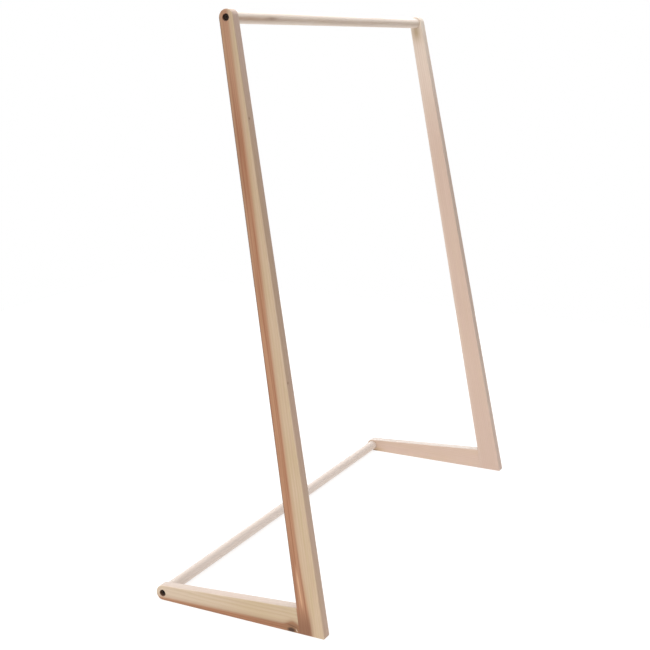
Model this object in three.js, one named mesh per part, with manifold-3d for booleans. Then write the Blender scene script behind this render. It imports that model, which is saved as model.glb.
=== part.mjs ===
// Free-standing wooden loom frame: two leaning side frames joined by a top rail and a bottom rail.
// Millimetres, +Z up. X runs along the rails, -Y is the front, where the uprights stand on the
// floor, and +Y is the rear, where the feet end. The origin is on the floor, under the middle.

import * as THREE from 'three';
import { mergeVertices } from 'three/addons/utils/BufferGeometryUtils.js';
import Module from 'manifold-3d';

const wasm = await Module();
wasm.setup();

// ---------------------------------------------------------------- driving dimensions

// Side frames
const topAxisHeight = 1500;      // centre of an upright's round end, and of the top rail
const clearWidthAtTop = 1130;    // between the uprights at the top rail's centre
const leanAngle = 3.36;          // degrees that each side frame leans inwards
const depth = 503;               // from an upright's front corner to the end of its foot
const topAxisSetback = 307;      // top rail's centre behind the front corner
const boardThickness = 29;       // measured along X
const uprightTopRadius = 19.5;   // full-round upper end
const uprightFloorWidth = 70;    // upright's width where it stands on the floor
const footEndRadius = 20;        // full-round rear end of the foot
const footJointHeight = 67;      // height of the foot where it meets the upright
const frontCornerRadius = 5;     // softened front corner at the floor
const arris = 2.6;               // rounding of all long edges

// Rails
const railRadius = 15;
const railArris = 0.8;
const seatDepth = 1.2;           // square seat for a rail end, cut into the leaning inner face
const seatPlay = 0.5;            // radial play of the rail end in its seat

// Rail bolts: M8 hexagon socket cap screws
const boltRadius = 4;
const boltLength = 40;
const boltHeadRadius = 6.5;
const boltHeadHeight = 8;
const socketAcrossFlats = 6;
const socketDepth = 4;
const boltHoleRadius = 4.6;
const counterboreRadius = 8.5;
const counterboreDepth = 15;
const counterboreRim = 1.2;      // broken edge round the counterbore's mouth

// Washers and threaded inserts
const washerRadius = 8;
const washerBoreRadius = 4.4;
const washerThickness = 1.6;
const insertRadius = 6;
const insertBoreRadius = 4.3;
const insertLength = 20;
const insertRibs = 5;
const insertRibDepth = 0.7;
const insertSinkage = 0.5;       // insert's mouth below the rail's end
const railBoreRadius = 6.3;
const railBoreDepth = 30;

// Dowels that hold each foot to its upright, hidden in the joint
const dowelRadius = 5;
const dowelLength = 60;
const dowelHeights = [18, 44];
const dowelPlay = 0.3;
const dowelArris = 1.2;

const gap = 0.3;                 // left between pieces that touch
const roundSegments = 32;

// ---------------------------------------------------------------- derived places

const lean = Math.tan(THREE.MathUtils.degToRad(leanAngle));
const halfWidthAtFloor = clearWidthAtTop / 2 + lean * topAxisHeight;
const innerHalfWidth = (height) => halfWidthAtFloor - lean * height;
const frontY = -depth / 2;
const topAxis = { y: frontY + topAxisSetback, z: topAxisHeight };
const footAxis = { y: depth / 2 - footEndRadius, z: footEndRadius };
const railEndGap = seatDepth - gap;   // rail end below the inner face, at the rail's axis

// ---------------------------------------------------------------- helpers

/** Closed solid of a geometry, ready to be cut. */
function solidOf(geometry) {
  const bare = geometry.index ? geometry.clone() : geometry;
  bare.deleteAttribute('normal');
  bare.deleteAttribute('uv');
  const merged = mergeVertices(bare, 1e-4);
  const vertProperties = new Float32Array(merged.attributes.position.array);
  const triVerts = new Uint32Array(merged.index.array);
  return new wasm.Manifold(new wasm.Mesh({ numProp: 3, vertProperties, triVerts }));
}

/** Geometry of a cut solid, with flat faces. */
function geometryOf(solid) {
  const { vertProperties, triVerts } = solid.getMesh();
  const geometry = new THREE.BufferGeometry();
  geometry.setAttribute('position', new THREE.BufferAttribute(vertProperties, 3));
  geometry.setIndex(new THREE.BufferAttribute(triVerts, 1));
  return geometry;
}

/** Solid of revolution from [radius, height] pairs, about the Y axis. */
function turned(profile, segments = roundSegments) {
  const points = profile.map(([radius, height]) => new THREE.Vector2(radius, height));
  return new THREE.LatheGeometry(points, segments);
}

/** Turns a solid made about the Y axis so that its +Y points along side * X. */
const alongX = (geometry, side) => geometry.rotateZ(-side * Math.PI / 2);

/** Point of a circle where a line from an outside point touches it; turn is +1 or -1. */
function tangentPoint(outside, centre, radius, turn) {
  const dy = outside.y - centre.y;
  const dz = outside.z - centre.z;
  const angle = Math.atan2(dz, dy) + turn * Math.acos(radius / Math.hypot(dy, dz));
  return { angle, y: centre.y + radius * Math.cos(angle), z: centre.z + radius * Math.sin(angle) };
}

/** Point at a given height on the line through two points. */
function atHeight(low, high, z) {
  const share = (z - low.z) / (high.z - low.z);
  return { y: low.y + share * (high.y - low.y), z };
}

const woodMaterial = (color) => new THREE.MeshStandardMaterial({ color, roughness: 0.62, metalness: 0 });
const metalMaterial = (color, roughness) => (
  new THREE.MeshStandardMaterial({ color, roughness, metalness: 0.9 })
);

const loom = new THREE.Group();

function addPart(name, geometry, material) {
  const mesh = new THREE.Mesh(geometry, material);
  mesh.name = name;
  loom.add(mesh);
  return mesh;
}

// ---------------------------------------------------------------- side frame outline

const frontCorner = { y: frontY, z: 0 };
const rearCorner = { y: frontY + uprightFloorWidth, z: 0 };
const frontTangent = tangentPoint(frontCorner, topAxis, uprightTopRadius, -1);
const rearTangent = tangentPoint(rearCorner, topAxis, uprightTopRadius, 1);
const innerCorner = atHeight(rearCorner, rearTangent, footJointHeight);
const footTangent = tangentPoint(innerCorner, footAxis, footEndRadius, -1);

/** Side view of an upright and its foot together: floor, foot end, foot top, upright, front edge. */
function sideFrameOutline() {
  const cornerTop = atHeight(frontCorner, frontTangent, frontCornerRadius);
  const shape = new THREE.Shape();
  shape.moveTo(frontCorner.y + frontCornerRadius, 0);
  shape.lineTo(footAxis.y, 0);
  shape.absarc(footAxis.y, footAxis.z, footEndRadius, -Math.PI / 2, footTangent.angle, false);
  shape.lineTo(innerCorner.y, innerCorner.z);
  shape.lineTo(rearTangent.y, rearTangent.z);
  shape.absarc(topAxis.y, topAxis.z, uprightTopRadius,
    rearTangent.angle, frontTangent.angle + 2 * Math.PI, false);
  shape.lineTo(cornerTop.y, cornerTop.z);
  shape.quadraticCurveTo(frontCorner.y, 0, frontCorner.y + frontCornerRadius, 0);
  return shape;
}

/** Moves geometry made in side view (Y, Z, X) to its place in a leaning side frame. */
function placeInSideFrame(geometry, side) {
  const sideView = new THREE.Matrix4().makeBasis(
    new THREE.Vector3(0, 1, 0), new THREE.Vector3(0, 0, 1), new THREE.Vector3(1, 0, 0));
  const leaning = new THREE.Matrix4().set(
    1, 0, -side * lean, side * halfWidthAtFloor,
    0, 1, 0, 0,
    0, 0, 1, 0,
    0, 0, 0, 1);
  return geometry.applyMatrix4(sideView).applyMatrix4(leaning);
}

/** Whole side frame as one solid with rounded arrises, before the foot is parted from the upright. */
function sideFrameBlank(side) {
  const geometry = new THREE.ExtrudeGeometry(sideFrameOutline(), {
    depth: boardThickness - 2 * arris,
    curveSegments: 16,
    bevelThickness: arris,
    bevelSize: arris,
    bevelOffset: -arris,
    bevelSegments: 2,
  });
  geometry.translate(0, 0, side > 0 ? arris : arris - boardThickness);
  return solidOf(placeInSideFrame(geometry, side));
}

/** Block behind the joint line between upright and foot, moved back by an offset. */
function behindJoint(side, offset) {
  const margin = 40;
  const low = atHeight(rearCorner, innerCorner, -margin);
  const shape = new THREE.Shape();
  shape.moveTo(low.y + offset, low.z);
  shape.lineTo(depth, low.z);
  shape.lineTo(depth, innerCorner.z);
  shape.lineTo(innerCorner.y + offset, innerCorner.z);
  shape.closePath();
  const geometry = new THREE.ExtrudeGeometry(shape, {
    depth: boardThickness + 2 * margin,
    bevelEnabled: false,
  });
  geometry.translate(0, 0, side > 0 ? -margin : -margin - boardThickness);
  return solidOf(placeInSideFrame(geometry, side));
}

/** Stepped hole for a rail bolt: seat for the rail end, clearance hole, counterbore, broken rim. */
function railBoltHole(side, axis) {
  const counterboreFloor = boardThickness - counterboreDepth;
  const reach = 3;
  const hole = turned([
    [0, -reach],
    [railRadius + seatPlay, -reach],
    [railRadius + seatPlay, seatDepth],
    [boltHoleRadius, seatDepth],
    [boltHoleRadius, counterboreFloor],
    [counterboreRadius, counterboreFloor],
    [counterboreRadius, boardThickness - counterboreRim],
    [counterboreRadius + counterboreRim + reach, boardThickness + reach],
    [0, boardThickness + reach],
  ]);
  alongX(hole, side).translate(side * innerHalfWidth(axis.z), axis.y, axis.z);
  return solidOf(hole);
}

/** Middle of the joint line between foot and upright, at a dowel's height and mid-thickness. */
function dowelCentre(side, height) {
  const joint = atHeight(rearCorner, innerCorner, height);
  return new THREE.Vector3(
    side * (innerHalfWidth(height) + boardThickness / 2), joint.y, height);
}

/** Dowel along Y, or the hole for it when play is given. */
function dowel(side, height, play = 0) {
  const radius = dowelRadius + play;
  const half = dowelLength / 2 + 2 * play;
  const geometry = turned([
    [0, -half],
    [radius - dowelArris, -half],
    [radius, -half + dowelArris],
    [radius, half - dowelArris],
    [radius - dowelArris, half],
    [0, half],
  ], 16);
  const centre = dowelCentre(side, height);
  return geometry.translate(centre.x, centre.y, centre.z);
}

// ---------------------------------------------------------------- parts

function addSideFrame(side, sideName) {
  const blank = sideFrameBlank(side);
  let upright = blank.subtract(behindJoint(side, 0)).subtract(railBoltHole(side, topAxis));
  let foot = blank.intersect(behindJoint(side, gap)).subtract(railBoltHole(side, footAxis));
  dowelHeights.forEach((height, index) => {
    const hole = solidOf(dowel(side, height, dowelPlay));
    upright = upright.subtract(hole);
    foot = foot.subtract(hole);
    const position = index === 0 ? 'lower' : 'upper';
    addPart(`${sideName}_${position}_dowel`, dowel(side, height), woodMaterial(0xc9a878));
  });
  addPart(`${sideName}_upright`, geometryOf(upright), woodMaterial(side < 0 ? 0xc8a585 : 0xdcc9b8));
  addPart(`${sideName}_foot`, geometryOf(foot), woodMaterial(side < 0 ? 0xd2bc9a : 0xdfcfbf));
}

/** Round rail with a blind bore for a threaded insert in each end. */
function addRail(name, axis) {
  const half = innerHalfWidth(axis.z) + railEndGap;
  const profile = [
    [0, -half + railBoreDepth],
    [railBoreRadius, -half + railBoreDepth],
    [railBoreRadius, -half],
    [railRadius - railArris, -half],
    [railRadius, -half + railArris],
    [railRadius, half - railArris],
    [railRadius - railArris, half],
    [railBoreRadius, half],
    [railBoreRadius, half - railBoreDepth],
    [0, half - railBoreDepth],
  ];
  const geometry = alongX(turned(profile, 48), 1).translate(0, axis.y, axis.z);
  addPart(name, geometry, woodMaterial(0xd8c2ae));
}

/** Threaded insert: a ribbed sleeve, closed on itself, its mouth at height 0 and its end below. */
function insertGeometry() {
  const pitch = insertLength / insertRibs;
  const profile = [[insertBoreRadius, 0], [insertBoreRadius, -insertLength]];
  for (let rib = insertRibs - 1; rib >= 0; rib -= 1) {
    profile.push([insertRadius - insertRibDepth, -(rib + 1) * pitch]);
    profile.push([insertRadius, -(rib + 0.5) * pitch]);
  }
  profile.push([insertRadius - insertRibDepth, 0], [insertBoreRadius, 0]);
  return turned(profile, 20);
}

/** Cap screw about Y: the head's underside is at height 0, the shank below it, the head above. */
function boltGeometry() {
  const tip = 1;
  const edge = 0.8;
  const body = solidOf(turned([
    [0, -boltLength],
    [boltRadius - tip, -boltLength],
    [boltRadius, -boltLength + tip],
    [boltRadius, 0],
    [boltHeadRadius - edge / 4, 0],
    [boltHeadRadius, edge / 4],
    [boltHeadRadius, boltHeadHeight - edge],
    [boltHeadRadius - edge * 0.3, boltHeadHeight - edge * 0.3],
    [boltHeadRadius - edge, boltHeadHeight],
    [0, boltHeadHeight],
  ], 24));
  const cornerRadius = socketAcrossFlats / Math.sqrt(3);
  const socket = new THREE.CylinderGeometry(cornerRadius, cornerRadius, 2 * socketDepth, 6);
  socket.translate(0, boltHeadHeight, 0);
  return geometryOf(body.subtract(solidOf(socket)));
}

/** Flat washer about Y, its underside at height 0. */
function washerGeometry() {
  const edge = 0.25;
  return turned([
    [washerBoreRadius, 0],
    [washerRadius - edge, 0],
    [washerRadius, edge],
    [washerRadius, washerThickness - edge],
    [washerRadius - edge, washerThickness],
    [washerBoreRadius, washerThickness],
    [washerBoreRadius, 0],
  ], 24);
}

/** Bolt, washer and insert that hold one end of a rail. */
function addRailFixing(side, sideName, railName, axis) {
  const innerFace = side * innerHalfWidth(axis.z);
  const washerSeat = innerFace + side * (boardThickness - counterboreDepth + gap);
  const boltSeat = washerSeat + side * (washerThickness + gap);
  const insertMouth = innerFace + side * (railEndGap - insertSinkage);
  const pieces = [
    ['bolt', boltGeometry(), boltSeat, metalMaterial(0x17171a, 0.45)],
    ['washer', washerGeometry(), washerSeat, metalMaterial(0x1c1c1f, 0.5)],
    ['insert', insertGeometry(), insertMouth, metalMaterial(0xb9a45f, 0.4)],
  ];
  for (const [kind, geometry, x, material] of pieces) {
    alongX(geometry, side).translate(x, axis.y, axis.z);
    addPart(`${railName}_${sideName}_${kind}`, geometry, material);
  }
}

for (const [side, sideName] of [[-1, 'left'], [1, 'right']]) {
  addSideFrame(side, sideName);
}
for (const [railName, axis] of [['top', topAxis], ['bottom', footAxis]]) {
  addRail(`${railName}_rail`, axis);
  for (const [side, sideName] of [[-1, 'left'], [1, 'right']]) {
    addRailFixing(side, sideName, railName, axis);
  }
}

// The origin lies under the middle of the frame's box.
const box = new THREE.Box3().setFromObject(loom);
loom.position.y = -box.getCenter(new THREE.Vector3()).y;

export default loom;
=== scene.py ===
"""Looks of the standing loom frame: pine boards and rails, black cap screws, on a pale studio floor.

Everything is in metres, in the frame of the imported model: +Z up, X along the rails, -Y the front.
The boards, rails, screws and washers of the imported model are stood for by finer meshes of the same
size, and every piece has a procedural material.
"""

import math

import bmesh
import bpy
from mathutils import Matrix, Vector


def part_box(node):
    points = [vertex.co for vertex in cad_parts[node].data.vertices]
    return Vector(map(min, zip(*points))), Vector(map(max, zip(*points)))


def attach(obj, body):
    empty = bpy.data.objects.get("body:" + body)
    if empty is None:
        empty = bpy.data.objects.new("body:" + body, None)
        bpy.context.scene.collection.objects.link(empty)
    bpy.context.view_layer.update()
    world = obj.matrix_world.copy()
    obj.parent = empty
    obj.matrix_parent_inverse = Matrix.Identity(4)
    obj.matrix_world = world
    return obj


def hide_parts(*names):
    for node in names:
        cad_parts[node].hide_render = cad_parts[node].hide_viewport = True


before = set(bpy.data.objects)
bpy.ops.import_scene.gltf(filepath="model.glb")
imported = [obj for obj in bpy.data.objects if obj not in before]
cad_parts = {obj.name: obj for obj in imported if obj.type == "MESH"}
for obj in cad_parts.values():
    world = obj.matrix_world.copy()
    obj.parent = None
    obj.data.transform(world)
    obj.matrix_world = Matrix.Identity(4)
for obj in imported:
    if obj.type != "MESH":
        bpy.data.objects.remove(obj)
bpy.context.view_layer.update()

MM = 0.001

# ------------------------------------------------------------------ sizes that no box of the frame gives

DEPTH = 503 * MM                 # from an upright's sharp front corner to the end of its foot
ARRIS = 2.6 * MM                 # rounding of the boards' long edges
FRONT_CORNER_RADIUS = 5 * MM     # softened front corner of an upright at the floor
GAP = 0.3 * MM                   # left between pieces that touch
SEAT_DEPTH = 1.2 * MM            # rail seats in the leaning inner faces
SEAT_PLAY = 0.5 * MM
BOLT_HOLE_RADIUS = 4.6 * MM
COUNTERBORE_RADIUS = 8.5 * MM
COUNTERBORE_DEPTH = 15 * MM
COUNTERBORE_RIM = 1.2 * MM
RAIL_ARRIS = 0.8 * MM
RAIL_BORE_RADIUS = 6.3 * MM
RAIL_BORE_DEPTH = 30 * MM
DOWEL_PLAY = 0.3 * MM
SCREW_SHANK_RADIUS = 4 * MM
SCREW_HEAD_RADIUS = 6.5 * MM
SCREW_HEAD_HEIGHT = 8 * MM
SCREW_LENGTH = 40 * MM
SOCKET_ACROSS_FLATS = 6 * MM
SOCKET_DEPTH = 4 * MM
WASHER_BORE_RADIUS = 4.4 * MM
RAIL_SEGMENTS = 96
SCREW_SEGMENTS = 108             # a multiple of 3, as every third one is a groove of the knurling
ROUND_SEGMENTS = 72              # of washers and bolt holes
DOWEL_SEGMENTS = 32
SHARP_ANGLE = 35                 # degrees; flatter edges are shaded smooth
SCREW_SHARP_ANGLE = 28

# ------------------------------------------------------------------ places, from the frame


def box_centre(node):
    low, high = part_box(node)
    return (low + high) / 2


top_axis = box_centre("top_rail").yz
foot_axis = box_centre("bottom_rail").yz
rail_radius = (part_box("top_rail")[1].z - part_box("top_rail")[0].z) / 2
rail_half = {name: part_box(f"{name}_rail")[1].x for name in ("top", "bottom")}
lean = (rail_half["bottom"] - rail_half["top"]) / (top_axis[1] - foot_axis[1])
half_width_at_floor = rail_half["top"] - (SEAT_DEPTH - GAP) + lean * top_axis[1]
upright_top_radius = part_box("right_upright")[1].z - top_axis[1]
foot_low, foot_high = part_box("right_foot")
board_thickness = round((foot_high.x - half_width_at_floor + lean * ARRIS) / MM) * MM
foot_end_radius = foot_axis[1]        # the foot's round end rests on the floor
foot_joint_height = foot_high.z
front_y = foot_high.y - DEPTH         # sharp front corner, before it is softened
rear_y = foot_low.y - GAP             # rear corner of the upright at the floor


def inner_half_width(height):
    """Distance of a side frame's inner face from the middle, at a height."""
    return half_width_at_floor - lean * height


# ------------------------------------------------------------------ node tools


def srgb(red, green, blue):
    """Linear colour of 8-bit display values."""
    def linear(value):
        value = value / 255
        return value / 12.92 if value <= 0.04045 else ((value + 0.055) / 1.055) ** 2.4
    return (linear(red), linear(green), linear(blue), 1.0)


class Tree:
    """Short calls that build the nodes of a material or world, from sockets or plain values."""

    def __init__(self, owner):
        owner.use_nodes = True
        self.nodes = owner.node_tree.nodes
        self.links = owner.node_tree.links

    def put(self, socket, value):
        if isinstance(value, bpy.types.NodeSocket):
            self.links.new(value, socket)
        else:
            socket.default_value = value

    def math(self, operation, *values, clamp=False):
        node = self.nodes.new("ShaderNodeMath")
        node.operation = operation
        node.use_clamp = clamp
        for socket, value in zip(node.inputs, values):
            self.put(socket, value)
        return node.outputs[0]

    def add(self, value, *others):
        for other in others:
            value = self.math("ADD", value, other)
        return value

    def sub(self, a, b):
        return self.math("SUBTRACT", a, b)

    def mul(self, value, *others):
        for other in others:
            value = self.math("MULTIPLY", value, other)
        return value

    def dot(self, vector, axis):
        node = self.nodes.new("ShaderNodeVectorMath")
        node.operation = "DOT_PRODUCT"
        self.put(node.inputs[0], vector)
        self.put(node.inputs[1], tuple(axis))
        return node.outputs["Value"]

    def vector(self, x, y, z):
        node = self.nodes.new("ShaderNodeCombineXYZ")
        for socket, value in zip(node.inputs, (x, y, z)):
            self.put(socket, value)
        return node.outputs[0]

    def noise(self, vector, scale=1.0, detail=2.0, roughness=0.5):
        node = self.nodes.new("ShaderNodeTexNoise")
        self.put(node.inputs["Vector"], vector)
        self.put(node.inputs["Scale"], scale)
        self.put(node.inputs["Detail"], detail)
        self.put(node.inputs["Roughness"], roughness)
        return node.outputs["Fac"]

    def step(self, value, low, high):
        """0 below low, 1 above high, smooth between; low may be above high."""
        node = self.nodes.new("ShaderNodeMapRange")
        node.interpolation_type = "SMOOTHSTEP"
        self.put(node.inputs["Value"], value)
        self.put(node.inputs["From Min"], low)
        self.put(node.inputs["From Max"], high)
        return node.outputs["Result"]

    def blend(self, share, a, b):
        """Number from a to b by a share."""
        node = self.nodes.new("ShaderNodeMix")
        node.data_type = "FLOAT"
        self.put(node.inputs["Factor"], share)
        self.put(node.inputs[2], a)
        self.put(node.inputs[3], b)
        return node.outputs[0]

    def hump(self, value, centre, width):
        """Bell curve of the value round a centre."""
        offset = self.math("DIVIDE", self.sub(value, centre), width)
        return self.math("EXPONENT", self.mul(self.mul(offset, offset), -1))

    def mix(self, factor, a, b):
        """Colour from a to b by a factor."""
        node = self.nodes.new("ShaderNodeMix")
        node.data_type = "RGBA"
        self.put(node.inputs["Factor"], factor)
        self.put(node.inputs[6], a)
        self.put(node.inputs[7], b)
        return node.outputs[2]

    def attribute(self, name):
        """Value of a vertex attribute."""
        node = self.nodes.new("ShaderNodeAttribute")
        node.attribute_name = name
        return node.outputs["Fac"]

    def place(self):
        return self.nodes.new("ShaderNodeTexCoord").outputs["Object"]

    def normal(self):
        return self.nodes.new("ShaderNodeTexCoord").outputs["Normal"]


class Surface(Tree):
    """Nodes of a material with one Principled shader."""

    def __init__(self, name, roughness=0.5, metallic=0.0, specular=0.5):
        self.material = bpy.data.materials.new(name)
        super().__init__(self.material)
        self.shader = self.nodes["Principled BSDF"]
        self.shader.inputs["Roughness"].default_value = roughness
        self.shader.inputs["Metallic"].default_value = metallic
        self.shader.inputs["Specular IOR Level"].default_value = specular

    def bump(self, height, strength, distance):
        node = self.nodes.new("ShaderNodeBump")
        self.put(node.inputs["Height"], height)
        node.inputs["Strength"].default_value = strength
        node.inputs["Distance"].default_value = distance
        self.links.new(node.outputs["Normal"], self.shader.inputs["Normal"])


# ------------------------------------------------------------------ camera, floor and light

CAMERA_PLACE = (-3.0733, -1.4673, 1.4441)
CAMERA_AZIMUTH = -63.08
CAMERA_ELEVATION = 13.43
CAMERA_LENS = 65.8
FLOOR_SIZE = 6.0
FLOOR_WHITE = 0.35                       # light that the floor throws back
FLOOR_GLOW = 0.75                        # light that it gives off itself, as if lit from below
AMBIENT = 0.15                           # dim white surroundings
BACKDROP = 4.0                           # bright white backdrop, as it mirrors in the object
BACKDROP_DIRECTION = (0.81, 0.45, 0.38)


def make_camera():
    data = bpy.data.cameras.new("camera")
    data.sensor_width = 36
    data.lens = CAMERA_LENS
    camera = bpy.data.objects.new("camera", data)
    camera.location = CAMERA_PLACE
    camera.rotation_euler = (
        math.radians(90 - CAMERA_ELEVATION), 0, math.radians(CAMERA_AZIMUTH))
    bpy.context.scene.collection.objects.link(camera)
    bpy.context.scene.camera = camera


def add_sun(name, direction, strength, spread):
    """Soft light that comes from a direction; spread is its angular size in degrees."""
    data = bpy.data.lights.new(name, "SUN")
    data.energy = strength
    data.angle = math.radians(spread)
    light = bpy.data.objects.new(name, data)
    light.rotation_euler = Vector(direction).to_track_quat("Z", "Y").to_euler()
    bpy.context.scene.collection.objects.link(light)


def add_softbox(name, place, aim, width, height, power):
    """Rectangular soft light at a place, turned towards a point."""
    data = bpy.data.lights.new(name, "AREA")
    data.shape = "RECTANGLE"
    data.size = width
    data.size_y = height
    data.energy = power
    light = bpy.data.objects.new(name, data)
    light.location = place
    light.rotation_euler = (Vector(place) - Vector(aim)).to_track_quat("Z", "Y").to_euler()
    light.visible_camera = False
    bpy.context.scene.collection.objects.link(light)


def make_floor():
    half = FLOOR_SIZE / 2
    mesh = bpy.data.meshes.new("floor")
    corners = [(-half, -half, 0), (half, -half, 0), (half, half, 0), (-half, half, 0)]
    mesh.from_pydata(corners, [], [(0, 1, 2, 3)])
    floor = bpy.data.objects.new("floor", mesh)
    bpy.context.scene.collection.objects.link(floor)
    surface = Surface("floor", roughness=0.95, specular=0.0)
    surface.shader.inputs["Base Color"].default_value = (FLOOR_WHITE, FLOOR_WHITE, FLOOR_WHITE, 1)
    surface.shader.inputs["Emission Color"].default_value = (1, 1, 1, 1)
    surface.shader.inputs["Emission Strength"].default_value = FLOOR_GLOW
    mesh.materials.append(surface.material)


def make_studio():
    add_sun("overhead", (-0.1, 0.12, 1), 2.75, 105)
    add_sun("side_fill", (-1, 0.15, 0.25), 1.1, 80)
    add_softbox("front_top", (0.3, -0.6, 2.5), (0.1, 0.05, 1.4), 1.6, 0.5, 5.0)

    world = bpy.data.worlds.new("studio")
    tree = Tree(world)
    direction = tree.nodes.new("ShaderNodeTexCoord").outputs["Generated"]
    facing = tree.dot(direction, BACKDROP_DIRECTION)
    path = tree.nodes.new("ShaderNodeLightPath")
    raised = tree.step(tree.dot(direction, (0, 0, 1)), -0.1, 0.15)
    lobe = tree.mul(tree.step(facing, 0.45, 1.0), raised)
    mirrored = tree.add(AMBIENT, tree.mul(lobe, BACKDROP - AMBIENT))
    lighting = tree.blend(path.outputs["Is Glossy Ray"], AMBIENT, mirrored)
    background = tree.nodes["Background"]
    background.inputs["Color"].default_value = (1, 1, 1, 1)
    tree.put(background.inputs["Strength"],
             tree.blend(path.outputs["Is Camera Ray"], lighting, 1.0))
    bpy.context.scene.world = world
    bpy.context.scene.view_settings.view_transform = "Standard"


make_camera()
make_floor()
make_studio()

# ------------------------------------------------------------------ material tools


class Grain:
    """A board's own directions: along the grain, across its face, and out of its outer face."""

    def __init__(self, origin, along, across):
        self.origin = Vector(origin)
        self.along = Vector(along).normalized()
        across = Vector(across)
        self.across = (across - across.dot(self.along) * self.along).normalized()
        self.out = self.across.cross(self.along)

    def sockets(self, tree):
        """Millimetres across (u), through (v) and along (w) the board."""
        place = tree.place()
        found = []
        for axis in (self.across, self.out, self.along):
            distance = tree.sub(tree.dot(place, axis), self.origin.dot(axis))
            found.append(tree.mul(distance, 1 / MM))
        return found


class Wood:
    """A board's own coordinates in millimetres, and the noises that all its marks share."""

    def __init__(self, tree, grain, seed):
        self.u, self.v, self.w = grain.sockets(tree)
        self.seed = seed
        self.along = tree.add(self.w, seed)
        # waver bends the grain slowly, drift shifts it in patches, fibre is its fine texture
        self.waver = tree.sub(self.noise(tree, 0.02, 0.0022, 2.0, 0.45), 0.5)
        self.drift = tree.sub(self.noise(tree, 0.12, 0.008, 3.0, 0.5), 0.5)
        self.fibre = self.noise(tree, 2.6, 0.05, 4.0, 0.6)

    def noise(self, tree, across, along, detail=2.0, roughness=0.5):
        """Noise with its own frequency across and along the grain, in cycles per millimetre."""
        place = tree.vector(
            tree.mul(self.u, across), tree.mul(self.v, across), tree.mul(self.along, along))
        return tree.noise(place, 1.0, detail, roughness)


def growth_rings(tree, wood, pith, spacing):
    """Share of latewood: rings round a pith line at (u, v), each with its own boldness."""
    ring_u = tree.sub(wood.u, pith[0])
    ring_v = tree.sub(wood.v, pith[1])
    radius = tree.math("SQRT", tree.add(tree.mul(ring_u, ring_u), tree.mul(ring_v, ring_v)))
    wander = tree.add(tree.mul(wood.waver, 12.0), tree.mul(wood.drift, 2.4))
    turn = tree.math("DIVIDE", tree.add(radius, wander), spacing)
    phase = tree.math("FRACT", turn)
    number = tree.vector(tree.math("FLOOR", turn), 0.5 + wood.seed, 0.0)
    boldness = tree.noise(number, 3.7, 0.0, 0.0)
    line = tree.mul(tree.step(phase, 0.25, 0.85), tree.step(phase, 1.0, 0.88))
    return tree.mul(line, tree.add(tree.mul(boldness, 1.4), 0.1))


def knot(tree, wood, colour, u, w, half_width, half_length, strength):
    """Dark knot through the board, with a softer brown zone round it. The right foot uses the same mark
    for a painted contact shadow.
    """
    across = tree.math("DIVIDE", tree.sub(wood.u, u), half_width)
    along = tree.math("DIVIDE", tree.sub(wood.w, w), half_length)
    reach = tree.math("SQRT", tree.add(tree.mul(across, across), tree.mul(along, along)))
    reach = tree.add(reach, tree.mul(wood.drift, 0.9))
    halo = tree.mul(tree.step(reach, 2.7, 0.8), 0.6 * strength)
    colour = tree.mix(halo, colour, srgb(150, 108, 76))
    core = tree.mul(tree.step(reach, 1.2, 0.5), strength)
    return tree.mix(core, colour, srgb(64, 38, 25))


def fleck(tree, wood, colour, place, size, strength):
    """Small brown mark round a point (u, v, w)."""
    amount = strength
    for coordinate, centre in zip((wood.u, wood.v, wood.w), place):
        amount = tree.mul(tree.hump(coordinate, centre, size), amount)
    return tree.mix(amount, colour, srgb(112, 74, 46))


def streak(tree, wood, colour, start, end, half_width, strength, tone):
    """Fine streak between two (u, w) points."""
    share = tree.math("DIVIDE", tree.sub(wood.w, start[1]), end[1] - start[1])
    middle = tree.add(start[0], tree.mul(share, end[0] - start[0]))
    middle = tree.add(middle, tree.mul(wood.drift, 3.0))
    ends = tree.mul(tree.step(share, 0.0, 0.3), tree.step(share, 1.0, 0.6))
    amount = tree.mul(tree.hump(wood.u, middle, half_width), ends, strength)
    return tree.mix(amount, colour, srgb(*tone))


def heartwood(tree, wood, colour, share, light=(184, 136, 104), dark=(158, 104, 74)):
    """Red heartwood with its own lighter and darker streaks."""
    streaks = tree.step(wood.noise(tree, 0.22, 0.0022, 3.0, 0.6), 0.36, 0.66)
    return tree.mix(share, colour, tree.mix(streaks, srgb(*light), srgb(*dark)))


def soft_edge(tree, distance, core, tail):
    """1 well inside an edge, falling over core millimetres and then slowly over tail millimetres."""
    crisp = tree.step(distance, core * 0.5, core * -0.5)
    faint = tree.step(distance, tail, 0.0)
    return tree.add(tree.mul(crisp, 0.68), tree.mul(faint, 0.32))


def narrow_faces_painted_light(tree, wood, colour, across, edges):
    """Tones of a board's narrow faces, beside its outer face and its inner one, redder in places;
    painted shade on the uprights' front faces, painted highlight on the feet's tops.
    """
    outer, inner = (srgb(*tone) for tone in edges)
    sideways = tree.math("ABSOLUTE", tree.dot(tree.normal(), across))
    through = tree.step(wood.v, -3.0, -26.0)
    # painted light: narrow-face tones give painted shade on the uprights' front faces and painted
    # highlight on the feet's top faces
    narrow = tree.mul(tree.step(sideways, 0.6, 0.9), 0.75)
    colour = tree.mix(narrow, colour, tree.mix(through, outer, inner))
    redder = tree.step(wood.noise(tree, 0.01, 0.0045), 0.42, 0.62)
    return tree.mix(tree.mul(narrow, redder, 0.3), colour, srgb(202, 168, 156))


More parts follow.
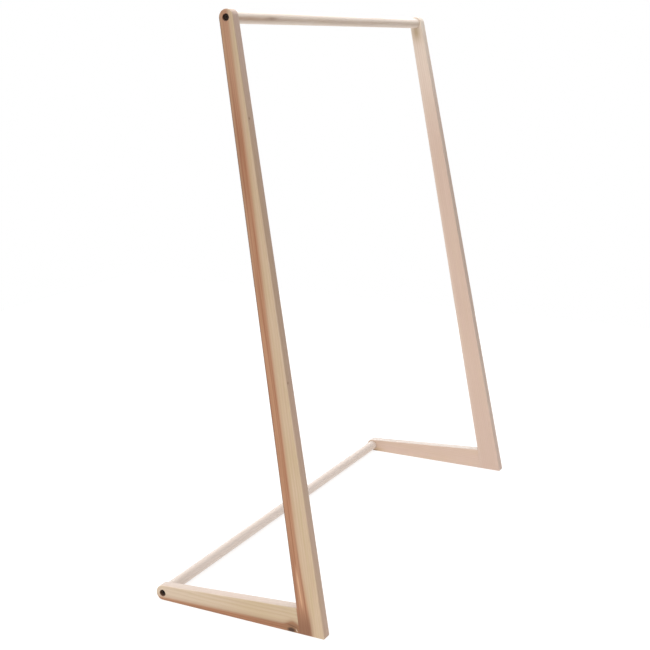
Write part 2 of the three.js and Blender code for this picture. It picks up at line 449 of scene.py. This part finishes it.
def pine(name, grain, pith, spacing, pale, deep, late, olive, figure, edges=None,
         seed=0.0, roughness=0.56, specular=0.35):
    """Pine board or rod, cut from a log with its pith at (u, v) and its rings a spacing apart.

    pale and deep are its light and dark tones, olive the tone of its broad patches and late that of
    its growth lines. figure(tree, wood, colour) adds the marks of one board. edges are the tones of the
    narrow faces: painted shade on the uprights' front faces, painted highlight on the feet's tops.
    Another seed gives other noises.
    """
    tree = Surface(name, specular=specular)
    tree.shader.inputs["Sheen Weight"].default_value = 0.08
    tree.shader.inputs["Sheen Roughness"].default_value = 0.4
    wood = Wood(tree, grain, seed)
    tone = tree.math("ADD", tree.add(tree.mul(wood.drift, 1.3), wood.waver), 0.45, clamp=True)
    colour = tree.mix(tone, srgb(*pale), srgb(*deep))
    patches = tree.step(wood.noise(tree, 0.07, 0.006, 3.0, 0.55), 0.42, 0.66)
    colour = tree.mix(tree.mul(patches, 0.5), colour, srgb(*olive))
    if edges is not None:
        colour = narrow_faces_painted_light(tree, wood, colour, grain.across, edges)
    colour = figure(tree, wood, colour)
    latewood = growth_rings(tree, wood, pith, spacing)
    colour = tree.mix(tree.mul(latewood, 0.22), colour, srgb(*late))
    pores = tree.mul(tree.step(wood.fibre, 0.62, 0.3), 0.16)
    colour = tree.mix(pores, colour, srgb(*late))
    worn = tree.attribute("arris")
    colour = tree.mix(tree.mul(worn, 0.12), colour, srgb(226, 212, 194))
    # painted shade: the counterbore's wall, floor and broken rim darkened to dark brown, where shade
    # falls in the recess
    painted_recess_shade = tree.mul(tree.attribute("counterbore"), 0.85)
    colour = tree.mix(painted_recess_shade, colour, srgb(94, 56, 36))
    tree.put(tree.shader.inputs["Base Color"], colour)

    gloss = tree.add(roughness, tree.mul(tree.sub(wood.fibre, 0.5), 0.22))
    gloss = tree.sub(gloss, tree.add(tree.mul(latewood, 0.07), tree.mul(worn, 0.05)))
    tree.put(tree.shader.inputs["Roughness"], gloss)
    height = tree.add(tree.mul(wood.fibre, 0.5), tree.mul(latewood, 0.35))
    tree.bump(tree.add(height, tree.mul(wood.drift, 0.4)), 0.35, 0.12 * MM)
    return tree.material


# ------------------------------------------------------------------ mesh tools


def object_from(bm, name):
    bmesh.ops.recalc_face_normals(bm, faces=bm.faces)
    mesh = bpy.data.meshes.new(name)
    bm.to_mesh(mesh)
    bm.free()
    made = bpy.data.objects.new(name, mesh)
    bpy.context.scene.collection.objects.link(made)
    return made


def turned(profile, segments, name, radius_of=None):
    """Object of revolution about X from (radius, x) pairs; a radius of 0 makes a point.

    radius_of(index, step, radius) may change the radius of single points.
    """
    bm = bmesh.new()
    rings = []
    for index, (radius, x) in enumerate(profile):
        if radius == 0:
            rings.append([bm.verts.new((x, 0, 0))])
            continue
        ring = []
        for step in range(segments):
            angle = 2 * math.pi * step / segments
            here = radius_of(index, step, radius) if radius_of else radius
            ring.append(bm.verts.new((x, here * math.cos(angle), here * math.sin(angle))))
        rings.append(ring)
    if profile[0] == profile[-1]:
        for vertex in rings[-1]:
            bm.verts.remove(vertex)
        rings[-1] = rings[0]
    for first, second in zip(rings, rings[1:]):
        for step in range(segments):
            following = (step + 1) % segments
            corners = [first[step % len(first)], second[step % len(second)],
                       second[following % len(second)], first[following % len(first)]]
            unique = list(dict.fromkeys(corners))
            if len(unique) > 2:
                bm.faces.new(unique)
    return object_from(bm, name)


def rounded(corner, before, after, radius, steps=4):
    """Arc that rounds one corner of a profile, from the side of before to the side of after."""
    corner, before, after = Vector(corner), Vector(before), Vector(after)
    start = corner + (before - corner).normalized() * radius
    end = corner + (after - corner).normalized() * radius
    points = []
    for step in range(steps + 1):
        share = step / steps
        low = start.lerp(corner, share)
        high = corner.lerp(end, share)
        points.append(tuple(low.lerp(high, share)))
    return points


def cut(target, tools, operation="DIFFERENCE"):
    """Cuts the target with each tool for good, and removes the tools."""
    for tool in tools:
        modifier = target.modifiers.new("cut", "BOOLEAN")
        modifier.operation = operation
        modifier.solver = "EXACT"
        modifier.object = tool
        bpy.context.view_layer.update()
        evaluated = target.evaluated_get(bpy.context.evaluated_depsgraph_get())
        mesh = bpy.data.meshes.new_from_object(evaluated)
        target.modifiers.clear()
        target.data = mesh
        bpy.data.objects.remove(tool)


def finish_mesh(target, material, sharp_angle=SHARP_ANGLE):
    """Material, smooth shading except at sharp edges, and face-weighted normals."""
    target.data.materials.clear()
    target.data.materials.append(material)
    target.data.shade_smooth()
    target.data.set_sharp_from_angle(angle=math.radians(sharp_angle))
    modifier = target.modifiers.new("weighted", "WEIGHTED_NORMAL")
    modifier.keep_sharp = True


def stand_for(piece, node, body, slot):
    """Puts a piece on a body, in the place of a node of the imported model."""
    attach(piece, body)
    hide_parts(node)


# ------------------------------------------------------------------ side frame outline


def tangent_point(outside, centre, radius, turn):
    """Point and angle where a line from an outside point touches a circle; turn is +1 or -1."""
    offset = Vector(outside) - Vector(centre)
    angle = math.atan2(offset.y, offset.x) + turn * math.acos(radius / offset.length)
    return Vector(centre) + radius * Vector((math.cos(angle), math.sin(angle))), angle


def at_height(low, high, z):
    """Point at a height on the line through two (y, z) points."""
    share = (z - low[1]) / (high[1] - low[1])
    return Vector((low[0] + share * (high[0] - low[0]), z))


front_corner = Vector((front_y, 0))
rear_corner = Vector((rear_y, 0))
front_tangent, front_angle = tangent_point(front_corner, top_axis, upright_top_radius, -1)
rear_tangent, rear_angle = tangent_point(rear_corner, top_axis, upright_top_radius, 1)
inner_corner = at_height(rear_corner, rear_tangent, foot_joint_height)
foot_angle = tangent_point(inner_corner, foot_axis, foot_end_radius, -1)[1]


def arc(centre, radius, start, end, steps):
    """Points of a circle from a start angle to an end angle."""
    points = []
    for step in range(steps + 1):
        angle = start + (end - start) * step / steps
        points.append(Vector(centre) + radius * Vector((math.cos(angle), math.sin(angle))))
    return points


def side_outline():
    """Side view (y, z) of an upright with its foot, counterclockwise from the floor at the front."""
    corner_top = at_height(front_corner, front_tangent, FRONT_CORNER_RADIUS)
    floor_start = front_corner + Vector((FRONT_CORNER_RADIUS, 0))
    softened = [Vector(p) for p in rounded(
        front_corner, corner_top, floor_start, FRONT_CORNER_RADIUS, 6)]
    return [
        *softened,
        *arc(foot_axis, foot_end_radius, -math.pi / 2, foot_angle, 40),
        inner_corner,
        *arc(top_axis, upright_top_radius, rear_angle, front_angle + 2 * math.pi, 44),
    ]


def lean_matrix(side):
    """From slab coordinates (distance out from the inner face, y, z) to the model's."""
    return Matrix((
        (side, 0, -side * lean, side * half_width_at_floor),
        (0, 1, 0, 0),
        (0, 0, 1, 0),
        (0, 0, 0, 1)))


def prism(outline, low, high):
    """Mesh of a (y, z) outline between two distances out."""
    bm = bmesh.new()
    near = [bm.verts.new((low, y, z)) for y, z in outline]
    far = [bm.verts.new((high, y, z)) for y, z in outline]
    bm.faces.new(near)
    bm.faces.new(list(reversed(far)))
    for index in range(len(outline)):
        following = (index + 1) % len(outline)
        bm.faces.new((near[index], far[index], far[following], near[following]))
    return bm


def side_slab(side, name):
    """Upright and foot as one board with rounded arrises."""
    bm = prism(side_outline(), 0, board_thickness)
    bm.normal_update()
    rims = [e for e in bm.edges if abs(e.verts[0].co.x - e.verts[1].co.x) < 1e-9]
    bmesh.ops.bevel(
        bm, geom=rims, offset=ARRIS, offset_type="OFFSET", segments=5, profile=0.5,
        affect="EDGES", clamp_overlap=False, miter_outer="SHARP", miter_inner="SHARP")
    bm.transform(lean_matrix(side))
    return object_from(bm, name)


def joint_block(side, name, offset):
    """Block behind the joint line between upright and foot, moved back by an offset."""
    margin = 40 * MM
    behind = 600 * MM
    low = at_height(rear_corner, inner_corner, -margin)
    outline = [
        (low.x + offset, low.y), (behind, low.y), (behind, inner_corner.y),
        (inner_corner.x + offset, inner_corner.y)]
    bm = prism(outline, -margin, board_thickness + margin)
    bm.transform(lean_matrix(side))
    return object_from(bm, name)


def to_side(made, side, x, axis):
    """Turns an object made along +X so that it points out of a side frame, and moves it there."""
    turn = Matrix.Rotation(0 if side > 0 else math.pi, 4, "Z")
    made.data.transform(Matrix.Translation((x, axis[0], axis[1])) @ turn)
    return made


def rail_bolt_hole(side, axis, name):
    """Seat for the rail end, clearance hole, counterbore and its broken rim."""
    floor = board_thickness - COUNTERBORE_DEPTH
    mouth = board_thickness - COUNTERBORE_RIM
    reach = 3 * MM
    wide = COUNTERBORE_RADIUS + COUNTERBORE_RIM
    rim = rounded(
        (COUNTERBORE_RADIUS, board_thickness), (COUNTERBORE_RADIUS, mouth),
        (wide, board_thickness), COUNTERBORE_RIM, 5)
    hole = turned([
        (0, -reach),
        (rail_radius + SEAT_PLAY, -reach),
        (rail_radius + SEAT_PLAY, SEAT_DEPTH),
        (BOLT_HOLE_RADIUS, SEAT_DEPTH),
        (BOLT_HOLE_RADIUS, floor),
        (COUNTERBORE_RADIUS, floor),
        *rim,
        (wide + reach, board_thickness + reach),
        (0, board_thickness + reach),
    ], ROUND_SEGMENTS, name)
    return to_side(hole, side, side * inner_half_width(axis[1]), axis)


def dowel_hole(node, name):
    """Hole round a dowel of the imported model, along Y."""
    low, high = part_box(node)
    centre = (low + high) / 2
    radius = (high.x - low.x) / 2 + DOWEL_PLAY
    half = (high.y - low.y) / 2 + DOWEL_PLAY
    hole = turned([(0, -half), (radius, -half), (radius, half), (0, half)], DOWEL_SEGMENTS, name)
    hole.data.transform(Matrix.Translation(centre) @ Matrix.Rotation(math.pi / 2, 4, "Z"))
    return hole


def mark_zones(made, side, axis):
    """Vertex attributes that are 1 on the rounded arrises and down the counterbore, else 0. The
    counterbore one masks painted shade in the recess and on its broken rim.
    """
    mesh = made.data
    worn = []
    deep = []
    margin = 0.01 * MM
    floor = board_thickness - COUNTERBORE_DEPTH
    mouth_radius = COUNTERBORE_RADIUS + COUNTERBORE_RIM
    for vertex in mesh.vertices:
        out = side * vertex.co.x - inner_half_width(vertex.co.z)
        edge = min(out, board_thickness - out)
        worn.append(1.0 if margin < edge < ARRIS - margin else 0.0)
        radius = math.hypot(vertex.co.y - axis[0], vertex.co.z - axis[1])
        level = side * vertex.co.x - inner_half_width(axis[1])
        sunk = level > floor - margin and out < board_thickness - margin
        deep.append(1.0 if sunk and radius < mouth_radius else 0.0)
    for name, values in (("arris", worn), ("counterbore", deep)):
        mesh.attributes.new(name, "FLOAT", "POINT").data.foreach_set("value", values)


def make_side_frame(side, side_name, materials):
    """Upright and foot, cut from one slab; materials gives each one's material and slot."""
    for part, axis in (("upright", top_axis), ("foot", foot_axis)):
        name = f"{side_name}_{part}_board"
        board = side_slab(side, name)
        if part == "upright":
            cut(board, [joint_block(side, "tool", 0)])
        else:
            cut(board, [joint_block(side, "tool", GAP)], "INTERSECT")
        tools = [rail_bolt_hole(side, axis, "tool_hole")]
        for position in ("lower", "upper"):
            tools.append(dowel_hole(f"{side_name}_{position}_dowel", f"tool_{position}"))
        cut(board, tools)
        mark_zones(board, side, axis)
        material, slot = materials[part]
        finish_mesh(board, material)
        stand_for(board, f"{side_name}_{part}", "side_frames", slot)


# ------------------------------------------------------------------ rails and fixings


def make_rail(name, axis, material):
    """Rod with softened ends and a blind bore in each, for the inserts."""
    half = rail_half[name]
    inner = RAIL_BORE_RADIUS
    end = [(inner, half), (rail_radius, half), (rail_radius, half - 5 * MM)]
    corner = rounded(end[1], end[0], end[2], RAIL_ARRIS, 4)
    right = [(0, half - RAIL_BORE_DEPTH), (inner, half - RAIL_BORE_DEPTH), (inner, half), *corner]
    left = [(radius, -x) for radius, x in reversed(right)]
    rod = turned([*right, *left], RAIL_SEGMENTS, f"{name}_rail_rod")
    rod.data.transform(Matrix.Translation((0, axis[0], axis[1])))
    finish_mesh(rod, material)
    stand_for(rod, f"{name}_rail", f"{name}_beam", "pine_rail")


def knurled(index, step, radius):
    """Straight knurling round the side of a screw head, between points 9 and 10 of its profile."""
    groove_depth = 0.14 * MM
    return radius - (groove_depth if index in (9, 10) and step % 3 == 0 else 0)


def make_screw(name, side, x, axis, material):
    """Hexagon socket cap screw, its head's underside at x."""
    tip, edge = 1.0 * MM, 0.9 * MM
    head, shank, height = SCREW_HEAD_RADIUS, SCREW_SHANK_RADIUS, SCREW_HEAD_HEIGHT
    fillet = 0.4 * MM
    profile = [
        (0, -SCREW_LENGTH),
        (shank - tip, -SCREW_LENGTH),
        (shank, -SCREW_LENGTH + tip),
        (shank, -fillet),
        (shank + fillet * 0.3, -fillet * 0.3),
        (shank + fillet, 0),
        (head - fillet, 0),
        (head, fillet),
        (head, 2 * fillet),
        (head, 2.4 * fillet),
        (head, height - edge - 0.5 * fillet),
        (head, height - edge),
        *rounded((head, height), (head, 0), (0, height), edge, 5),
        (0, height),
    ]
    screw = turned(profile, SCREW_SEGMENTS, name, knurled)
    corner = SOCKET_ACROSS_FLATS / math.sqrt(3)
    socket = turned(
        [(0, height - SOCKET_DEPTH - 0.6 * MM), (corner, height - SOCKET_DEPTH),
         (corner, height + 1 * MM), (0, height + 1 * MM)], 6, "tool")
    funnel = turned(
        [(0, height - 0.5 * MM), (corner - 0.35 * MM, height - 0.5 * MM),
         (corner + 0.55 * MM, height + 0.4 * MM), (0, height + 0.4 * MM)], 48, "tool_funnel")
    cut(screw, [socket, funnel])
    to_side(screw, side, x, axis)
    finish_mesh(screw, material, SCREW_SHARP_ANGLE)
    return screw


def make_washer(name, side, x, thickness, radius, axis, material):
    """Flat washer, its inner side at x."""
    edge = 0.3 * MM
    bore = WASHER_BORE_RADIUS
    outer_low = rounded((radius, 0), (bore, 0), (radius, thickness), edge, 3)
    outer_high = rounded((radius, thickness), (radius, 0), (bore, thickness), edge, 3)
    washer = turned(
        [(bore, 0), *outer_low, *outer_high, (bore, thickness), (bore, 0)],
        ROUND_SEGMENTS, name)
    to_side(washer, side, x, axis)
    finish_mesh(washer, material)
    return washer


def make_fixings(rail, axis, side, side_name, black):
    """Screw and washer at one end of a rail."""
    screw_low, screw_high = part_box(f"{rail}_{side_name}_bolt")
    washer_low, washer_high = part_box(f"{rail}_{side_name}_washer")
    head_top = screw_high.x if side > 0 else screw_low.x
    screw = make_screw(
        f"{rail}_{side_name}_screw", side, head_top - side * SCREW_HEAD_HEIGHT, axis, black)
    stand_for(screw, f"{rail}_{side_name}_bolt", f"{rail}_beam", "black_steel")
    seat = washer_low.x if side > 0 else washer_high.x
    thickness = washer_high.x - washer_low.x
    radius = (washer_high.z - washer_low.z) / 2
    washer = make_washer(
        f"{rail}_{side_name}_flat_washer", side, seat, thickness, radius, axis, black)
    stand_for(washer, f"{rail}_{side_name}_washer", "side_frames", "black_steel")


# ------------------------------------------------------------------ materials


def board_grain(side, along, across):
    """Grain of a side frame's board, from the upright's rear corner; v runs out of the outer face."""
    outer = side * (half_width_at_floor + board_thickness)
    grain = Grain((outer, rear_corner.x, 0), along, across)
    if grain.out.x * side < 0:
        grain.out = -grain.out
    return grain


def upright_grain(side):
    """Grain parallel to the rear edge; u runs forward from that edge."""
    slope = (rear_tangent.x - rear_corner.x) / rear_tangent.y
    return board_grain(side, (-side * lean, slope, 1), (0, -1, 0))


def foot_grain(side):
    """Grain along the floor; u runs up from it."""
    return board_grain(side, (0, 1, 0), (-side * lean, 0, 1))


def rail_grain(axis):
    """Grain along a rail's axis; u runs up from it and v to the rear."""
    return Grain((0, axis[0], axis[1]), (1, 0, 0), (0, 0, 1))


def left_upright_figure(tree, wood, colour):
    """Heartwood beside the rear edge, with streaks, painted shade along the rounded rear arris, and two
    flecks on the front face.
    """
    u, v, w = wood.u, wood.v, wood.w
    wider_low = tree.mul(tree.step(w, 240.0, 0.0), 10.0)
    wider_high = tree.mul(tree.hump(w, 1160.0, 240.0), 2.5)
    front = tree.add(24.5, wider_low, wider_high, tree.mul(wood.waver, 5.0))
    share = soft_edge(tree, tree.sub(u, front), 8.0, 12.0)
    upper = tree.step(w, 780.0, 1000.0)
    rear_band = tree.mul(tree.hump(u, 5.0, 3.4), upper)
    share = tree.mul(share, tree.sub(1.0, tree.mul(rear_band, 0.3)))
    colour = heartwood(tree, wood, colour, share)
    faded = tree.mul(tree.step(w, 1200.0, 1480.0), share, 0.3)
    colour = tree.mix(faded, colour, srgb(205, 168, 142))
    dark_line = tree.mul(tree.hump(u, 10.0, 2.2), tree.mul(upper, 0.3))
    colour = tree.mix(dark_line, colour, srgb(140, 88, 62))
    colour = streak(tree, wood, colour, (17.5, 50.0), (14.0, 190.0), 2.6, 0.8, (222, 176, 140))
    colour = streak(tree, wood, colour, (11.0, 150.0), (6.5, 480.0), 1.8, 0.3, (214, 166, 132))
    colour = streak(tree, wood, colour, (27.0, -20.0), (22.0, 330.0), 1.8, 0.4, (132, 80, 54))
    # painted shade: the rounded rear arris, turned away from the light, darkened above the foot beside
    # the outer face
    above_foot = tree.step(w, 66.0, 84.0)
    beside_face = tree.step(v, -6.0, -3.0)
    painted_rear_arris_shade = tree.mul(tree.step(u, 4.6, 1.2), above_foot, beside_face, 0.75)
    colour = tree.mix(painted_rear_arris_shade, colour, srgb(92, 64, 50))
    near_floor = tree.mul(tree.step(w, 85.0, 15.0), share, 0.75)
    colour = tree.mix(near_floor, colour, srgb(122, 80, 58))
    pinker = tree.mul(tree.step(w, 1180.0, 1450.0), tree.step(v, -1.0, -4.0), 0.6)
    colour = tree.mix(pinker, colour, srgb(206, 180, 168))
    colour = fleck(tree, wood, colour, (44.4, -7.0, 1279.0), 3.0, 0.8)
    return fleck(tree, wood, colour, (57.2, -6.0, 637.0), 3.0, 0.7)


def right_upright_figure(tree, wood, colour):
    """Painted light: paler towards the top end and palest at the tip, as lit from above. Duller towards
    the floor. Painted shadow of the rail's end below it, yellower.
    """
    u, w = wood.u, wood.w
    # painted light: the upper part made paler, as lit from above
    paler = tree.mul(tree.step(w, 1080.0, 1480.0), 0.65)
    colour = tree.mix(paler, colour, srgb(238, 222, 206))
    rear_strip = tree.mul(tree.step(u, 13.0, 3.0), 0.35)
    colour = tree.mix(rear_strip, colour, srgb(226, 210, 198))
    duller = tree.mul(tree.step(w, 420.0, 0.0), 0.6)
    colour = tree.mix(duller, colour, srgb(199, 173, 158))
    # painted highlight: the top end palest
    tip = tree.mul(tree.step(w, 1470.0, 1515.0), 0.7)
    colour = tree.mix(tip, colour, srgb(240, 228, 214))
    # painted shadow: the rail's end shades the inner face below it, yellowish
    painted_rail_end_shadow = tree.mul(tree.hump(u, 18.0, 13.0), tree.hump(w, 1494.0, 25.0), 0.75)
    return tree.mix(painted_rail_end_shadow, colour, srgb(176, 152, 108))


def right_foot_figure(tree, wood, colour):
    """Painted shade beside the rail's end, yellower, and a small dark spot of painted contact shadow
    below it.
    """
    # painted shade: yellowish patch beside the bottom rail's end
    painted_shade_beside_rail = tree.mul(tree.hump(wood.u, 9.0, 9.0), tree.hump(wood.w, 392.0, 24.0), 0.6)
    colour = tree.mix(painted_shade_beside_rail, colour, srgb(192, 164, 124))
    # painted contact shadow below the rail's end, drawn with the knot mark
    return knot(tree, wood, colour, 2.0, 406.0, 3.4, 9.0, 0.8)


def bottom_rail_figure(tree, wood, colour):
    """Painted shade: slightly darker along its top and its underside."""
    # painted shade along the top, toning down where the light falls
    top = tree.mul(tree.step(wood.u, 4.0, 13.0), 0.6)
    colour = tree.mix(top, colour, srgb(196, 184, 176))
    # painted shade along the underside
    underside = tree.mul(tree.step(wood.u, -5.0, -13.0), 0.4)
    return tree.mix(underside, colour, srgb(198, 180, 168))


def left_foot_figure(tree, wood, colour):
    """Heartwood along the floor that swings up round a knot at the joint; paler to the rear."""
    u, w = wood.u, wood.w
    outer_face = tree.step(wood.v, -6.0, -1.5)
    paler = tree.mul(tree.step(w, 60.0, 420.0), outer_face, 0.55)
    colour = tree.mix(paler, colour, srgb(216, 197, 178))
    sloping = tree.sub(19.5, tree.mul(w, 0.0265))
    swing = tree.mul(tree.hump(w, 21.0, 16.0), 10.0)
    edge = tree.add(sloping, swing, tree.mul(wood.waver, 3.0))
    share = soft_edge(tree, tree.sub(u, edge), 8.0, 13.0)
    colour = heartwood(tree, wood, colour, share, (168, 118, 86), (138, 90, 62))
    swirl = tree.mul(tree.hump(u, 17.0, 10.0), tree.hump(w, 19.0, 16.0), 0.7)
    colour = tree.mix(swirl, colour, srgb(126, 92, 66))
    colour = knot(tree, wood, colour, 7.0, 23.0, 7.5, 14.0, 1.0)
    colour = streak(tree, wood, colour, (3.0, 5.0), (11.0, 12.0), 1.6, 0.9, (222, 206, 186))
    return streak(tree, wood, colour, (13.0, 2.0), (20.0, 40.0), 1.5, 0.7, (96, 62, 42))


def top_rail_figure(tree, wood, colour):
    """Brown stripe along the front, strongest round a long knot near the left end."""
    u, w = wood.u, wood.w
    front_side = tree.step(wood.v, 2.0, -9.0)
    stripe = tree.mul(tree.hump(u, -3.2, 6.0), front_side)
    left_end = tree.mul(tree.step(w, -330.0, -480.0), 0.36)
    leftwards = tree.mul(tree.step(w, 560.0, -250.0), 0.12)
    fading = tree.add(0.14, left_end, leftwards)
    flecks = tree.step(wood.noise(tree, 0.3, 0.02, 3.0, 0.6), 0.3, 0.7)
    amount = tree.mul(stripe, fading, tree.add(0.6, tree.mul(flecks, 0.7)))
    colour = tree.mix(amount, colour, srgb(190, 146, 110))
    spot = tree.mul(tree.hump(w, -397.0, 26.0), tree.hump(u, -1.0, 4.5), front_side, 0.5)
    return tree.mix(spot, colour, srgb(132, 90, 62))


def black_oxide():
    """Blackened steel: mottled, faintly brown, rubbed a little brighter in patches."""
    tree = Surface("black_oxide", metallic=0.35)
    place = tree.place()
    mottle = tree.noise(place, 900.0, 3.0, 0.6)
    rubbed = tree.step(tree.noise(place, 260.0, 4.0, 0.6), 0.52, 0.7)
    colour = tree.mix(mottle, srgb(36, 24, 17), srgb(66, 46, 33))
    colour = tree.mix(tree.mul(rubbed, 0.5), colour, srgb(88, 68, 56))
    tree.put(tree.shader.inputs["Base Color"], colour)
    tree.put(tree.shader.inputs["Roughness"], tree.add(0.34, tree.mul(mottle, 0.26)))
    tree.bump(mottle, 0.25, 0.02 * MM)
    return tree.material


def brass():
    """Machined brass with fine turning marks round X."""
    tree = Surface("brass", metallic=1.0)
    place = tree.place()
    marks = tree.noise(tree.vector(tree.mul(tree.dot(place, (1, 0, 0)), 4000.0), 0.0, 0.0))
    dull = tree.noise(place, 300.0, 3.0, 0.6)
    colour = tree.mix(dull, srgb(196, 164, 96), srgb(168, 132, 70))
    tree.put(tree.shader.inputs["Base Color"], colour)
    tree.put(tree.shader.inputs["Roughness"], tree.add(0.25, tree.mul(marks, 0.3)))
    tree.bump(marks, 0.2, 0.02 * MM)
    return tree.material


def beech():
    """Beech dowel rod: short brown flecks along Y on a warm ground."""
    tree = Surface("beech", specular=0.3)
    place = tree.place()
    stretched = tree.vector(
        tree.mul(tree.dot(place, (1, 0, 0)), 900.0),
        tree.mul(tree.dot(place, (0, 1, 0)), 90.0),
        tree.mul(tree.dot(place, (0, 0, 1)), 900.0))
    flecks = tree.noise(stretched, 1.0, 3.0, 0.6)
    colour = tree.mix(tree.step(flecks, 0.45, 0.62), srgb(214, 176, 132), srgb(178, 132, 90))
    tree.put(tree.shader.inputs["Base Color"], colour)
    tree.put(tree.shader.inputs["Roughness"], tree.add(0.5, tree.mul(flecks, 0.2)))
    tree.bump(flecks, 0.3, 0.05 * MM)
    return tree.material


left_upright_pine = pine(
    "left_upright_pine", upright_grain(-1), pith=(-30, -60), spacing=5.5,
    pale=(206, 183, 156), deep=(196, 168, 138), late=(164, 128, 93), olive=(196, 174, 136),
    figure=left_upright_figure, edges=((192, 161, 137), (190, 163, 147)))
left_foot_pine = pine(
    "left_foot_pine", foot_grain(-1), pith=(-16, -70), spacing=6.0,
    pale=(201, 180, 152), deep=(194, 169, 139), late=(166, 132, 98), olive=(195, 174, 138),
    figure=left_foot_figure, edges=((198, 187, 180), (203, 194, 189)), seed=310.0)
right_upright_pine = pine(
    "right_upright_pine", upright_grain(1), pith=(-42, 24), spacing=5.0,
    pale=(213, 187, 171), deep=(204, 177, 159), late=(184, 148, 126), olive=(208, 183, 161),
    figure=right_upright_figure, edges=((204, 184, 168), (202, 184, 170)), seed=620.0)
right_foot_pine = pine(
    "right_foot_pine", foot_grain(1), pith=(-30, 18), spacing=5.4,
    pale=(212, 187, 171), deep=(203, 176, 159), late=(184, 148, 126), olive=(206, 181, 156),
    figure=right_foot_figure, edges=((199, 194, 188), (199, 194, 188)), seed=930.0)
top_rail_pine = pine(
    "top_rail_pine", rail_grain(top_axis), pith=(22, 30), spacing=4.4,
    pale=(238, 224, 212), deep=(229, 211, 196), late=(200, 170, 146), olive=(228, 212, 190),
    figure=top_rail_figure, seed=1240.0, roughness=0.45, specular=0.42)
bottom_rail_pine = pine(
    "bottom_rail_pine", rail_grain(foot_axis), pith=(-26, 34), spacing=4.8,
    pale=(232, 219, 209), deep=(224, 208, 197), late=(204, 179, 160), olive=(227, 212, 198),
    figure=bottom_rail_figure, seed=1550.0, roughness=0.5, specular=0.2)
black = black_oxide()

make_side_frame(-1, "left", {
    "upright": (left_upright_pine, "pine_left_upright"),
    "foot": (left_foot_pine, "pine_left_foot")})
make_side_frame(1, "right", {
    "upright": (right_upright_pine, "pine_right"),
    "foot": (right_foot_pine, "pine_right")})
make_rail("top", top_axis, top_rail_pine)
make_rail("bottom", foot_axis, bottom_rail_pine)
for rail, axis in (("top", top_axis), ("bottom", foot_axis)):
    for side, side_name in ((-1, "left"), (1, "right")):
        make_fixings(rail, axis, side, side_name, black)

hidden_looks = {"insert": brass(), "dowel": beech()}
for node_name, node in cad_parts.items():
    kind = node_name.split("_")[-1]
    if kind in hidden_looks:
        node.data.materials.clear()
        node.data.materials.append(hidden_looks[kind])
